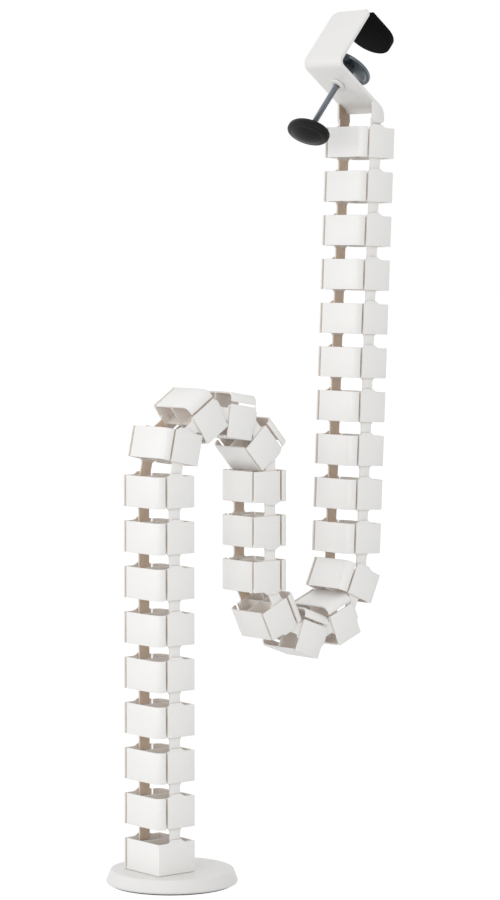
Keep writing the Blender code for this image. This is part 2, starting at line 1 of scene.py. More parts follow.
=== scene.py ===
"""Dressed cable spine for a height-adjustable desk.

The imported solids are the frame. Every piece that shows is modelled here on the same pins and
axes: the moulded links, the weighted base, the bent clamp with its rubber cap, screw, oval knob
and pressure disc. Metres throughout, +Z up, hinges along Y.
"""

from __future__ import annotations

import json
import logging
import math
from dataclasses import dataclass, field, fields
from enum import Enum

import bmesh
import bpy
from mathutils import Matrix, Vector

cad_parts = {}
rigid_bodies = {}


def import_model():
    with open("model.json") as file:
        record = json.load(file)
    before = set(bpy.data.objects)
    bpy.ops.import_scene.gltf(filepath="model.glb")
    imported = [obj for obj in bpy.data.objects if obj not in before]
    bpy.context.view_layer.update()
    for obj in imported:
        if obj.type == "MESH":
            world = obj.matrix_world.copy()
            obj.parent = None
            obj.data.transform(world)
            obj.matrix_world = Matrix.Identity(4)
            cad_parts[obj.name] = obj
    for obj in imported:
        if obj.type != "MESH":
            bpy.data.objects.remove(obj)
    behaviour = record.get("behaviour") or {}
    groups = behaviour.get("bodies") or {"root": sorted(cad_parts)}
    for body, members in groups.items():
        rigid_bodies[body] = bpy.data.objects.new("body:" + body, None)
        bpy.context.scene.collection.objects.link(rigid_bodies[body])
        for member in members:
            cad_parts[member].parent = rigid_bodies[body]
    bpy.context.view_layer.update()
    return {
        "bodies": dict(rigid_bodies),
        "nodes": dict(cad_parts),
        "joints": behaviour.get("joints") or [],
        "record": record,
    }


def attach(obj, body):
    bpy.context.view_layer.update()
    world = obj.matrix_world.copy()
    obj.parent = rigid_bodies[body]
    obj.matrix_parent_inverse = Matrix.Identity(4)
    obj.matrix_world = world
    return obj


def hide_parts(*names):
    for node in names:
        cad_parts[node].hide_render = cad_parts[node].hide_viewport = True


LOG = logging.getLogger("cable_spine")

# Points closer than this are one, and edges sharper than these are kept sharp or broken
WELD = 1e-6
SMOOTH_ANGLE = math.radians(24)
RIM_ANGLE = math.radians(50)
# A bevel with this profile is round, and it may take nearly the whole of an edge
ROUND_PROFILE = 0.5
NEARLY_ALL = 0.999
# Facets of a small round bar or hole
BAR_STEPS = 24
# One tooth of a thread: whether a point is on the crest, and how far along the pitch it lies
TOOTH = ((False, 0.0), (False, 0.12), (True, 0.44), (True, 0.56), (False, 0.88), (False, 1.0))
# Attribute that marks the faces inside a piece, which the inner colour paints with shade
SHADE_LAYER = "inner"

Point = tuple[float, float]


class Plane(Enum):
    """Plane that an outline is drawn in, named by its first and second axis."""

    XY = "xy"
    XZ = "xz"

    def place(self, first: float, second: float, depth: float) -> Vector:
        """Put a point of the plane in space.

        Args:
            first: Coordinate along the plane's first axis.
            second: Coordinate along its second axis.
            depth: Coordinate along the axis that the plane leaves out.

        Returns:
            The point in space.
        """
        if self is Plane.XY:
            return Vector((first, second, depth))
        return Vector((first, depth, second))

    def lift(self, amount: float) -> Vector:
        """Vector of a length along the axis that the plane leaves out."""
        return self.place(0.0, 0.0, amount)


class Side(Enum):
    """The two sides of the chain, seen along the hinges."""

    NEAR = -1
    FAR = 1


def swing(degrees: float) -> Matrix:
    """Turn about the hinge direction that takes +Z to a heading.

    Args:
        degrees: Heading from +Z towards +X.

    Returns:
        The rotation as a four by four matrix.
    """
    return Matrix.Rotation(math.radians(degrees), 4, "Y")


def heading_vector(degrees: float) -> Vector:
    """Unit vector of a heading in the plane that the chain folds in."""
    return Vector((math.sin(math.radians(degrees)), 0.0, math.cos(math.radians(degrees))))


def rounded(centre: Point, radius: float, start: float, end: float, steps: int) -> list[Point]:
    """Points of a short arc, for the rim of a turned profile.

    Args:
        centre: Middle of the arc.
        radius: Its radius.
        start: First angle in degrees.
        end: Last angle in degrees.
        steps: How many pieces the arc is cut in.

    Returns:
        The points from start to end.
    """
    points = []
    for step in range(steps + 1):
        angle = math.radians(start + (end - start) * step / steps)
        points.append((centre[0] + radius * math.cos(angle), centre[1] + radius * math.sin(angle)))
    return points


def bevel(shape: bmesh.types.BMesh, picked: list, radius: float, segments: int,
          affect: str = "EDGES") -> None:
    """Round some edges or corners.

    Args:
        shape: The mesh that holds them.
        picked: The edges or corners.
        radius: How far the rounding reaches.
        segments: How many facets it gets.
        affect: EDGES or VERTICES.
    """
    bmesh.ops.bevel(shape, geom=picked, offset=radius, offset_type="OFFSET", segments=segments,
                    profile=ROUND_PROFILE, affect=affect, clamp_overlap=True, material=-1)


def revolve(shape: bmesh.types.BMesh, profile: list[Point], steps: int, turns: int = 1,
            rise: float = 0.0, closed: bool = False) -> None:
    """Spin a profile of radius and height about +Z.

    Args:
        shape: The mesh that gets the turned surface.
        profile: Points of radius and height.
        steps: Facets of a turn.
        turns: How many turns it makes.
        rise: How far a turn climbs, or nought for a closed ring.
        closed: Whether the last point joins the first, as on a ring.
    """
    points = [shape.verts.new((radius, 0.0, height)) for radius, height in profile]
    edges = [shape.edges.new(pair) for pair in zip(points, points[1:])]
    if closed:
        edges.append(shape.edges.new((points[-1], points[0])))
    bmesh.ops.spin(shape, geom=points + edges, cent=(0, 0, 0), axis=(0, 0, 1),
                   dvec=(0, 0, rise / steps), angle=2 * math.pi * turns, steps=steps * turns,
                   use_merge=rise == 0.0, use_duplicate=False)


class Workpiece:
    """A mesh that grows by closed solids, each one made with bmesh operators."""

    def __init__(self) -> None:
        """Start with nothing on the bench."""
        self.shape = bmesh.new()

    def take(self, part: bmesh.types.BMesh, matrix: Matrix | None = None) -> None:
        """Weld a solid, turn its faces outwards and add it.

        Args:
            part: The solid, which is freed here.
            matrix: Where it goes, or None where it is already in place.
        """
        bmesh.ops.remove_doubles(part, verts=part.verts[:], dist=WELD)
        bmesh.ops.recalc_face_normals(part, faces=part.faces[:])
        if matrix is not None:
            bmesh.ops.transform(part, matrix=matrix, verts=part.verts[:])
        loose = bpy.data.meshes.new("solid")
        part.to_mesh(loose)
        part.free()
        self.shape.from_mesh(loose)
        bpy.data.meshes.remove(loose)

    def bevel_rims(self, part: bmesh.types.BMesh, radius: float, segments: int = 2) -> None:
        """Break every sharp edge of a solid.

        Args:
            part: The solid.
            radius: Width of the broken edge.
            segments: How many facets it gets.
        """
        if radius <= 0.0:
            return
        rims = [edge for edge in part.edges
                if edge.is_manifold and edge.calc_face_angle(0.0) > RIM_ANGLE]
        bevel(part, rims, radius, segments)

    def prism(self, outline: list[Point], plane: Plane, low: float, high: float,
              rounds: dict[float, list[int]] | None = None, rim: float = 0.0,
              steps: int = 8, segments: int = 2) -> None:
        """Extrude an outline into a closed solid.

        Args:
            outline: Corners of the outline in order.
            plane: Plane that it is drawn in.
            low: Where the solid starts along the third axis.
            high: Where it ends.
            rounds: Corner radius to the corners that get it.
            rim: Width of the broken edges.
            steps: Facets of a rounded corner.
            segments: Facets of a broken edge.
        """
        part = bmesh.new()
        corners = [part.verts.new(plane.place(u, v, low)) for u, v in outline]
        part.faces.new(corners)
        for radius, picks in (rounds or {}).items():
            bevel(part, [corners[pick] for pick in picks], radius, steps, "VERTICES")
        self._raise(part, plane, high - low)
        self.bevel_rims(part, rim, segments)
        self.take(part)

    def pierced(self, outline: list[Point], hole: tuple[Point, float], plane: Plane, low: float,
                high: float, rim: float = 0.0, sides: int = BAR_STEPS) -> None:
        """Extrude an outline with one round hole in it.

        Args:
            outline: Corners of the outline in order.
            hole: Centre and radius of the hole.
            plane: Plane that both are drawn in.
            low: Where the solid starts along the third axis.
            high: Where it ends.
            rim: Width of the broken edges.
            sides: Facets of the hole.
        """
        part = bmesh.new()
        corners = [part.verts.new(plane.place(u, v, low)) for u, v in outline]
        edges = [part.edges.new((corners[i - 1], corners[i])) for i in range(len(corners))]
        (u, v), radius = hole
        turn = Matrix.Translation(plane.place(u, v, low))
        if plane is Plane.XZ:
            turn = turn @ Matrix.Rotation(math.pi / 2, 4, "X")
        ring = bmesh.ops.create_circle(part, segments=sides, radius=radius, matrix=turn)
        edges += dict.fromkeys(edge for vert in ring["verts"] for edge in vert.link_edges)
        bmesh.ops.triangle_fill(part, use_beauty=True, edges=edges)
        self._raise(part, plane, high - low)
        self.bevel_rims(part, rim)
        self.take(part)

    def _raise(self, part: bmesh.types.BMesh, plane: Plane, height: float) -> None:
        """Extrude all faces of a flat part along its plane's third axis.

        Args:
            part: The flat part.
            plane: Plane that it lies in.
            height: How far its faces are raised.
        """
        lifted = bmesh.ops.extrude_face_region(part, geom=part.faces[:], use_keep_orig=True)
        moved = [item for item in lifted["geom"] if isinstance(item, bmesh.types.BMVert)]
        bmesh.ops.translate(part, verts=moved, vec=plane.lift(height))
        bmesh.ops.recalc_face_normals(part, faces=part.faces[:])

    def block(self, low: tuple[float, float, float], high: tuple[float, float, float],
              rim: float = 0.0) -> None:
        """Add a box between two corners with broken edges.

        Args:
            low: Lowest corner.
            high: Highest corner.
            rim: Width of the broken edges.
        """
        part = bmesh.new()
        middle = (Vector(low) + Vector(high)) / 2
        size = Vector(high) - Vector(low)
        matrix = Matrix.Translation(middle) @ Matrix.Diagonal((*size, 1.0))
        bmesh.ops.create_cube(part, size=1.0, matrix=matrix)
        self.bevel_rims(part, rim)
        self.take(part)

    def lathe(self, profile: list[Point], steps: int, matrix: Matrix | None = None,
              closed: bool = False) -> None:
        """Add a solid turned about +Z.

        Args:
            profile: Points of radius and height.
            steps: Facets of a full turn.
            matrix: Where the turned solid goes.
            closed: Whether the last point joins the first, as on a ring.
        """
        part = bmesh.new()
        revolve(part, profile, steps, closed=closed)
        self.take(part, matrix)

    def pin(self, radius: float, start: Vector, end: Vector, rim: float = 0.0,
            sides: int = BAR_STEPS) -> None:
        """Add a round bar between two points.

        Args:
            radius: Its radius.
            start: Middle of one end.
            end: Middle of the other.
            rim: Width of the broken edges.
            sides: Facets round it.
        """
        part = bmesh.new()
        along = end - start
        turn = along.to_track_quat("Z", "Y").to_matrix().to_4x4()
        matrix = Matrix.Translation((start + end) / 2) @ turn
        bmesh.ops.create_cone(part, cap_ends=True, cap_tris=False, segments=sides,
                              radius1=radius, radius2=radius, depth=along.length, matrix=matrix)
        self.bevel_rims(part, rim)
        self.take(part)

    def thread(self, crest: float, root: float, pitch: float, low: float, high: float,
               steps: int = 20) -> None:
        """Add a threaded bar about +Z, cut square at both ends.

        Args:
            crest: Outer radius.
            root: Core radius.
            pitch: Rise of one turn.
            low: Lower end.
            high: Upper end.
            steps: Facets of one turn.
        """
        part = bmesh.new()
        start = low - 2 * pitch
        turns = math.ceil((high - start) / pitch) + 2
        tooth = [(crest if high_up else root, start + pitch * share) for high_up, share in TOOTH]
        revolve(part, tooth, steps, turns, pitch)
        bmesh.ops.remove_doubles(part, verts=part.verts[:], dist=WELD * 10)
        for height, upward in ((high, True), (low, False)):
            bmesh.ops.bisect_plane(part, geom=part.verts[:] + part.edges[:] + part.faces[:],
                                   plane_co=(0, 0, height), plane_no=(0, 0, 1), dist=WELD,
                                   clear_outer=upward, clear_inner=not upward)
        rims = [edge for edge in part.edges if edge.is_boundary]
        bmesh.ops.holes_fill(part, edges=rims, sides=0)
        self.take(part)

    def finish(self, name: str, matrix: Matrix | None = None) -> bpy.types.Mesh:
        """Turn the workpiece into a mesh, smooth where it curves.

        Args:
            name: Name of the mesh.
            matrix: Where the whole piece goes.

        Returns:
            The finished mesh.
        """
        mesh = bpy.data.meshes.new(name)
        self.shape.to_mesh(mesh)
        self.shape.free()
        if matrix is not None:
            mesh.transform(matrix)
        mesh.shade_smooth()
        mesh.set_sharp_from_angle(angle=SMOOTH_ANGLE)
        return mesh


def linear(code: str) -> tuple[float, float, float, float]:
    """Turn an sRGB hex value into a colour in linear light.

    Args:
        code: The value, such as #EFEEEC.

    Returns:
        Red, green, blue and a full alpha.
    """
    shares = [int(code[place:place + 2], 16) / 255 for place in (1, 3, 5)]
    red, green, blue = (share / 12.92 if share <= 0.04045 else ((share + 0.055) / 1.055) ** 2.4
                        for share in shares)
    return red, green, blue, 1.0


def shaded(color: tuple[float, ...], factor: float) -> tuple[float, ...]:
    """A linear colour made lighter or darker, with a full alpha."""
    return (*(min(1.0, channel * factor) for channel in color[:3]), 1.0)


def add_node(tree: bpy.types.NodeTree, kind: str, settings: dict | None = None,
             inputs: dict | None = None) -> bpy.types.Node:
    """Add one node with its settings and what its sockets take.

    Args:
        tree: Tree that gets the node.
        kind: Blender's name for the kind of node.
        settings: Property to value.
        inputs: Socket name or number to a value, or to the socket that it is linked from.

    Returns:
        The node.
    """
    node = tree.nodes.new(kind)
    for name, value in (settings or {}).items():
        setattr(node, name, value)
    for name, value in (inputs or {}).items():
        if isinstance(value, bpy.types.NodeSocket):
            tree.links.new(value, node.inputs[name])
        else:
            node.inputs[name].default_value = value
    return node


@dataclass(frozen=True)
class Finish:
    """One finish: its colours, its gloss, and the real sizes of its patterns in millimetres.

    Clouds vary the colour a little over a hand's breadth, as pigment and coating do; strong small
    clouds, as on the disc, paint streaks of reflection. The grain is the texture of the surface; a
    real one is finer than the render can show, so it is drawn coarser. Faces marked as inner take
    the inner colour, which paints the shade inside hollows and gaps.
    """

    name: str
    color: str
    roughness: float
    metallic: float = 0.0
    ior: float = 1.5
    # Colour of the painted shade on faces marked as inner
    inner: str = ""
    cloud_mm: float = 40.0
    cloud_share: float = 0.018
    grain_mm: float = 0.8
    relief_mm: float = 0.03
    gloss_swing: float = 0.05
    coat: float = 0.0
    specular: float = 0.5
    subsurface: float = 0.0
    coat_roughness: float = 0.12
    relief_strength: float = 0.5
    scatter: tuple[float, float, float] = (1.0, 0.7, 0.5)
    scatter_reach: float = 0.0015

    def material(self) -> bpy.types.Material:
        """Write the finish as a node material.

        Returns:
            The material, ready for a piece's slot.
        """
        made = bpy.data.materials.new(self.name)
        made.use_nodes = True
        tree = made.node_tree
        tree.nodes.clear()
        place = add_node(tree, "ShaderNodeTexCoord").outputs["Object"]
        cloud, grain = (
            add_node(tree, "ShaderNodeTexNoise",
                     inputs={"Vector": place, "Scale": 1000 / size, "Detail": 2.0}).outputs["Fac"]
            for size in (self.cloud_mm, self.grain_mm))
        rough = add_node(tree, "ShaderNodeMapRange", inputs={
            "Value": grain, "To Min": self.roughness - self.gloss_swing,
            "To Max": self.roughness + self.gloss_swing})
        bump = add_node(tree, "ShaderNodeBump", inputs={
            "Height": grain, "Strength": self.relief_strength,
            "Distance": self.relief_mm / 1000})
        surface = add_node(tree, "ShaderNodeBsdfPrincipled", inputs={
            "Base Color": self._tint(tree, cloud), "Roughness": rough.outputs["Result"],
            "Normal": bump.outputs["Normal"], "Metallic": self.metallic, "IOR": self.ior,
            "Coat Weight": self.coat, "Coat Roughness": self.coat_roughness,
            "Specular IOR Level": self.specular, "Subsurface Weight": self.subsurface,
            "Subsurface Radius": self.scatter, "Subsurface Scale": self.scatter_reach})
        add_node(tree, "ShaderNodeOutputMaterial", inputs={"Surface": surface.outputs["BSDF"]})
        return made

    def _tint(self, tree: bpy.types.NodeTree, cloud: bpy.types.NodeSocket) -> bpy.types.NodeSocket:
        """Colour of the surface, varied by the clouds and darkened by the inner mark's painted
        shade.

        Args:
            tree: The material's tree.
            cloud: Output of the broad noise.

        Returns:
            The colour's socket.
        """
        color = linear(self.color)
        blend = {"data_type": "RGBA"}
        dark, light = (shaded(color, 1 + sign * self.cloud_share) for sign in (-1, 1))
        tone = add_node(tree, "ShaderNodeMix", blend, {0: cloud, 6: dark, 7: light})
        if not self.inner:
            return tone.outputs[2]
        mark = add_node(tree, "ShaderNodeAttribute", {"attribute_name": SHADE_LAYER})
        inner = add_node(tree, "ShaderNodeMix", blend, {
            0: mark.outputs["Fac"], 6: tone.outputs[2], 7: linear(self.inner)})
        return inner.outputs[2]


@dataclass(frozen=True)
class Finishes:
    """Every finish of the object, each one named for what the real surface is; some also paint
    shade or reflections.
    """

    # Moulded ABS from a finely sparked tool: an even satin white, with a warm painted shade inside
    # the link, in its slots and between links
    link_plastic: Finish = Finish("injection_moulded_abs", "#EFEEEC", 0.42, ior=1.54,
                                  inner="#E0CAB5", grain_mm=0.7, relief_mm=0.03, subsurface=0.06)
    # Powder coat, baked on sheet steel: a satin white with a faint orange peel
    base_coat: Finish = Finish("powder_coated_steel", "#E4E3E1", 0.46, cloud_share=0.012,
                               grain_mm=1.4, relief_mm=0.09)
    # The same coat, sprayed thinner on the bent strip: smoother and a little glossier; its dark
    # inner colour paints shade on the faces of the ears that look at each other
    bracket_coat: Finish = Finish("sprayed_enamel", "#E8E7E5", 0.38, cloud_share=0.012,
                                  inner="#A8937F", grain_mm=1.1, relief_mm=0.05)
    # Pressed rubber sheet: dull black with a coarse skin
    foot_rubber: Finish = Finish("pressed_rubber", "#303030", 0.80, ior=1.52, cloud_share=0.15,
                                 grain_mm=1.4, relief_mm=0.1, gloss_swing=0.08)
    # Soft rubber moulding: near black, hardly any gloss
    cap_rubber: Finish = Finish("moulded_soft_rubber", "#0D0D0D", 0.75, ior=1.52, cloud_share=0.2,
                                grain_mm=1.2, relief_mm=0.08, specular=0.05)
    # Moulded nylon: black with a soft highlight that shows its domed form
    knob_plastic: Finish = Finish("injection_moulded_nylon", "#191818", 0.42, ior=1.53,
                                  cloud_share=0.15, grain_mm=0.8, relief_mm=0.05, specular=0.12)
    # Rolled thread on bright zinc: grey metal with small uneven reflections
    screw_steel: Finish = Finish("zinc_plated_steel", "#767C84", 0.30, metallic=1.0,
                                 cloud_mm=15.0, cloud_share=0.06, grain_mm=1.1, relief_mm=0.03)
    # Pressed steel under black nickel: dark, its relief as wavy as pressed sheet, with strong small
    # colour clouds that paint light and dark reflection streaks
    disc_gloss: Finish = Finish("black_nickel_plate", "#5F6971", 0.17, metallic=0.85,
                                cloud_mm=9.0, cloud_share=0.55, grain_mm=9.0, relief_mm=0.5,
                                gloss_swing=0.04, coat=0.4)


class Piece:
    """A finished object that rides on a body and stands for solids of the frame."""

    def __init__(self, name: str, mesh: bpy.types.Mesh, finish: bpy.types.Material,
                 body: str, nodes: tuple[str, ...], slot: str) -> None:
        """Make the object and hand it to the frame.

        Args:
            name: Name of the piece.
            mesh: Its mesh, already in place.
            finish: Its material.
            body: Body that it moves with.
            nodes: Solids that it stands for.
            slot: The record's material slot; not used.
        """
        mesh.materials.clear()
        mesh.materials.append(finish)
        self.thing = bpy.data.objects.new(name, mesh)
        bpy.context.scene.collection.objects.link(self.thing)
        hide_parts(*nodes)
        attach(self.thing, body)
        LOG.info("%s: %d faces on %s", name, len(mesh.polygons), body)


@dataclass
class Link:
    """One moulded link in its own frame: pins on the origin, tongues one pitch below."""

    depth: float = 0.0400
    width: float = 0.0500
    height: float = 0.0276
    pitch: float = 0.0400
    pin_depth: float = 0.0065
    wall: float = 0.0018
    web: float = 0.0016
    corner: float = 0.0070
    wrap: float = 0.0083
    slot_width: float = 0.0022
    pin_radius: float = 0.0025
    eye_radius: float = 0.0029
    tongue_half: float = 0.0055
    tongue_thickness: float = 0.0020
    tongue_flare: float = 0.0030
    pad_height: float = 0.0065
    collar_rise: float = 0.0025
    collar_flare: float = 0.0060
    gap: float = 0.0003
    rim: float = 0.0004
    margin: float = 0.0006
    square_cosine: float = 0.9995
    collar_curve: tuple[Point, ...] = ((0.55, 0.16), (0.22, 0.50))
    flare_curve: tuple[Point, ...] = ((0.13, 0.5), (0.5, 0.13))
    corner_steps: int = 9
    eye_steps: int = 14
    # How strongly the inner colour paints shade on the walls inside and in the slots
    wall_shade: float = 0.35
    slot_shade: float = 0.30

    @property
    def top(self) -> float:
        """Height of the leading edge above the pins."""
        return self.pin_depth

    @property
    def bottom(self) -> float:
        """Height of the trailing edge, below the pins."""
        return self.pin_depth - self.height

    @property
    def plate_inner(self) -> float:
        """Distance from the middle to a side plate's inner face."""
        return self.width / 2 - self.wall

    def panels(self, work: Workpiece) -> None:
        """Front and back panels with their wrapped corners and the web that joins them.

        Args:
            work: The workpiece that gets them.
        """
        inner = self.depth / 2 - self.wall
        side, half = self.depth / 2, self.width / 2
        wrap_end = side - self.wrap
        panel_end = self.plate_inner - self.slot_width
        run = [(inner, -self.web / 2), (inner, -panel_end), (side, -panel_end), (side, half),
               (wrap_end, half), (wrap_end, self.plate_inner), (inner, self.plate_inner),
               (inner, self.web / 2)]
        outline = run + [(-x, -y) for x, y in run]
        last = len(run)
        rounds = {self.corner: [3, 3 + last], self.corner - self.wall: [6, 6 + last]}
        work.prism(outline, Plane.XY, self.bottom, self.top, rounds, self.rim,
                   steps=self.corner_steps)

    def plates(self, work: Workpiece) -> None:
        """Side plates, each with a bare upright edge beside a slot at either end.

        Args:
            work: The workpiece that gets them.
        """
        end = self.depth / 2 - self.wrap - self.slot_width
        for side in Side:
            turn = -side.value
            low_x, high_x = sorted((-turn * end, turn * self.depth / 2))
            low_y, high_y = sorted((side.value * self.plate_inner, side.value * self.width / 2))
            work.block((low_x, low_y, self.bottom), (high_x, high_y, self.top), self.rim)

    def cross_web(self, work: Workpiece) -> None:
        """Low web along the hinge direction that carries both side plates.

        Args:
            work: The workpiece that gets it.
        """
        reach = self.plate_inner + self.gap
        top = -self.tongue_half - self.margin
        work.block((-self.web / 2, -reach, self.bottom + self.gap), (self.web / 2, reach, top),
                   self.rim / 2)

    def pins(self, work: Workpiece) -> None:
        """Two round stubs on the insides of the side plates.

        Args:
            work: The workpiece that gets them.
        """
        outer = self.plate_inner + self.gap
        inner = self.plate_inner - self.gap - self.tongue_thickness - self.margin
        for side in Side:
            work.pin(self.pin_radius, Vector((0, side.value * outer, 0)),
                     Vector((0, side.value * inner, 0)), self.rim)

    def collar_outline(self) -> list[Point]:
        """Low collar on a plate's leading edge, hollow on both flanks.

        Returns:
            The outline in order.
        """
        flank = [(self.tongue_half + self.collar_flare, self.top - self.gap)]
        flank += [(self.tongue_half + self.collar_flare * out, self.top + self.collar_rise * rise)
                  for out, rise in self.collar_curve]
        flank.append((self.tongue_half, self.top + self.collar_rise))
        return flank + [(-x, z) for x, z in reversed(flank)]

    def collars(self, work: Workpiece) -> None:
        """Collars on both side plates.

        Args:
            work: The workpiece that gets them.
        """
        for side in Side:
            low, high = sorted((side.value * (self.plate_inner + self.gap),
                                side.value * (self.width / 2 - self.gap)))
            work.prism(self.collar_outline(), Plane.XZ, low, high, rim=self.rim / 2)

    def tongue_outline(self, eye: float, top: float) -> list[Point]:
        """Round eye and a strap that widens in a curve at its root.

        Args:
            eye: Height of the eye's middle.
            top: Height where the strap ends.

        Returns:
            The outline in order.
        """
        lower = rounded((0.0, eye), self.tongue_half, 180.0, 360.0, self.eye_steps)
        wide = self.tongue_half + self.tongue_flare
        flare = [(self.tongue_half, self.bottom - self.tongue_flare)]
        flare += [(self.tongue_half + self.tongue_flare * out,
                   self.bottom - self.tongue_flare * drop) for out, drop in self.flare_curve]
        flare += [(wide, self.bottom + self.gap), (wide, top)]
        return lower + flare + [(-x, z) for x, z in reversed(flare)]

    def tongues(self, work: Workpiece) -> None:
        """Two tongues that reach down to the next link's pins, with their root pads.

        Args:
            work: The workpiece that gets them.
        """
        pad_top = self.bottom + self.pad_height
        outline = self.tongue_outline(-self.pitch, pad_top)
        outer = self.plate_inner - self.gap
        reach = self.tongue_half + self.tongue_flare - self.gap
        for side in Side:
            low, high = sorted((side.value * (outer - self.tongue_thickness), side.value * outer))
            work.pierced(outline, ((0.0, -self.pitch), self.eye_radius), Plane.XZ, low, high,
                         self.rim / 2)
            low, high = sorted((side.value * (outer - self.tongue_thickness + self.gap),
                                side.value * (self.plate_inner + self.gap)))
            work.block((-reach, low, self.bottom + 2 * self.gap), (reach, high, pad_top - self.gap),
                       self.rim / 2)

    def build(self) -> Workpiece:
        """Model one whole link.

        Returns:
            The link in its own frame.
        """
        work = Workpiece()
        for step in (self.panels, self.plates, self.cross_web, self.pins, self.collars,
                     self.tongues):
            step(work)
        self.mark_inner(work)
        return work

    def mark_inner(self, work: Workpiece) -> None:
        """Mark the faces inside the link and in its slots for painted shade, warm and dark where
        the light is low.

        Args:
            work: The link's workpiece.
        """
        layer = work.shape.loops.layers.float.new(SHADE_LAYER)
        for face in work.shape.faces:
            depth = self.depth_of(face.calc_center_median(), face.normal)
            for corner in face.loops:
                corner[layer] = depth

    def depth_of(self, middle: Vector, normal: Vector) -> float:
        """How much painted shade a face gets, from how deep inside the link it lies.

        Args:
            middle: Middle of the face.
            normal: Direction that it faces.

        Returns:
            One between two links, less on the walls inside and in the slots, nought outside.
        """
        x, y = abs(middle.x), abs(middle.y)
        inwards = min(normal.x * middle.x, normal.y * middle.y) < -self.gap / 10
        if not self.bottom - self.gap < middle.z < self.top + self.gap:
            return 1.0 if inwards else 0.0
        if inwards:
            return self.wall_shade
        square = max(abs(normal.x), abs(normal.y)) > self.square_cosine
        recessed = x < self.depth / 2 - self.gap and y < self.width / 2 - self.gap
        return self.slot_shade if recessed and square else 0.0


@dataclass
class BaseLink(Link):
    """The lowest link: square closed corners, no tongues, and a floor that is screwed down."""

    corner_steps: int = 3
    floor: float = 0.0025
    spread_x: float = 0.0095
    spread_y: float = 0.0120
    screw_radius: float = 0.0017
    head_radius: float = 0.0034
    head_height: float = 0.0020
    head_shares: tuple[Point, ...] = ((0.0, 0.6), (0.336, 0.6), (0.42, 0.0), (0.75, 0.0),
                                      (0.95, 0.3), (1.0, 0.6))
    head_steps: int = 28
    shank: float = 0.0050
    shank_tip: float = 0.0060

    def panels(self, work: Workpiece) -> None:
        """Two L-shaped shells with square corners, joined by the web along X.

        Args:
            work: The workpiece that gets them.
        """
        inner = self.depth / 2 - self.wall
        side, half = self.depth / 2, self.width / 2
        panel_end = self.plate_inner - self.slot_width
        run = [(-side, -half), (side, -half), (side, -self.plate_inner),
               (-inner, -self.plate_inner), (-inner, -self.web / 2), (inner, -self.web / 2),
               (inner, -panel_end), (side, -panel_end)]
        outline = run + [(-x, -y) for x, y in run]
        last = len(run)
        work.prism(outline, Plane.XY, self.bottom, self.top, {self.margin: [0, last]}, self.rim,
                   steps=self.corner_steps)

    def build(self) -> Workpiece:
        """Model the lowest link with its floor.

        Returns:
            The link in its own frame.
        """
        work = Workpiece()
        for step in (self.panels, self.cross_web, self.pins, self.collars):
            step(work)
        inset = self.wall / 2
        work.block((-self.depth / 2 + inset, -self.width / 2 + inset, self.bottom),
                   (self.depth / 2 - inset, self.width / 2 - inset, self.bottom + self.floor),
                   self.rim)
        self.mark_inner(work)
        return work

    def screw(self, x: float, y: float) -> Workpiece:
        """Pan-head screw with a round drive recess, standing on the floor.

        Args:
            x: Place across the link.
            y: Place along the hinge direction.

        Returns:
            The screw in the link's frame.
        """
        work = Workpiece()
        seat = self.bottom + self.floor + self.gap
        top = seat + self.head_height
        profile = [(self.head_radius * out, top - self.head_height * drop)
                   for out, drop in self.head_shares]
        profile += [(self.head_radius, seat), (self.screw_radius, seat),
                    (self.screw_radius, seat - self.shank), (0.0, seat - self.shank_tip)]
        work.lathe(profile, self.head_steps, Matrix.Translation((x, y, 0.0)))
        return work

    def screw_places(self) -> list[Point]:
        """Where the four base screws stand."""
        return [(sx * self.spread_x, sy * self.spread_y) for sx in (-1, 1) for sy in (-1, 1)]


@dataclass
class Chain:
    """All the links, placed on the pins that the frame's hinges give."""

    joints: list[dict]
    finishes: dict[str, bpy.types.Material]
    link: Link = field(default_factory=Link)
    base_link: BaseLink = field(default_factory=BaseLink)

    def pins(self) -> list[Vector]:
        """Places of the hinge axes, from the base to the clamp.

        Returns:
            One point for each hinge, in order.
        """
        hinges = sorted((joint for joint in self.joints if joint["name"].startswith("hinge_")),
                        key=lambda joint: joint["name"])
        return [Vector(joint["pos_m"]) for joint in hinges]

    def build(self) -> None:
        """Place every link and report it."""
        pins = self.pins()
        master = self.link.build().finish("link_master")
        for index in range(1, len(pins)):
            along = pins[index] - pins[index - 1]
            degrees = math.degrees(math.atan2(along.x, along.z))
            mesh = master.copy()
            mesh.transform(Matrix.Translation(pins[index]) @ swing(degrees))
            node = f"link_{index + 1:02d}"
            Piece(f"dressed_{node}", mesh, self.finishes["link_plastic"], node, (node,),
                  "link_plastic")
        bpy.data.meshes.remove(master)
        mesh = self.base_link.build().finish("base_link", Matrix.Translation(pins[0]))
        Piece("dressed_base_link", mesh, self.finishes["link_plastic"], "base", ("base_link",),
              "link_plastic")
        for number, (x, y) in enumerate(self.base_link.screw_places(), start=1):
            mesh = self.base_link.screw(x, y).finish("screw", Matrix.Translation(pins[0]))
            Piece(f"dressed_base_screw_{number}", mesh, self.finishes["screw_steel"], "base",
                  (f"base_screw_{number}",), "steel")


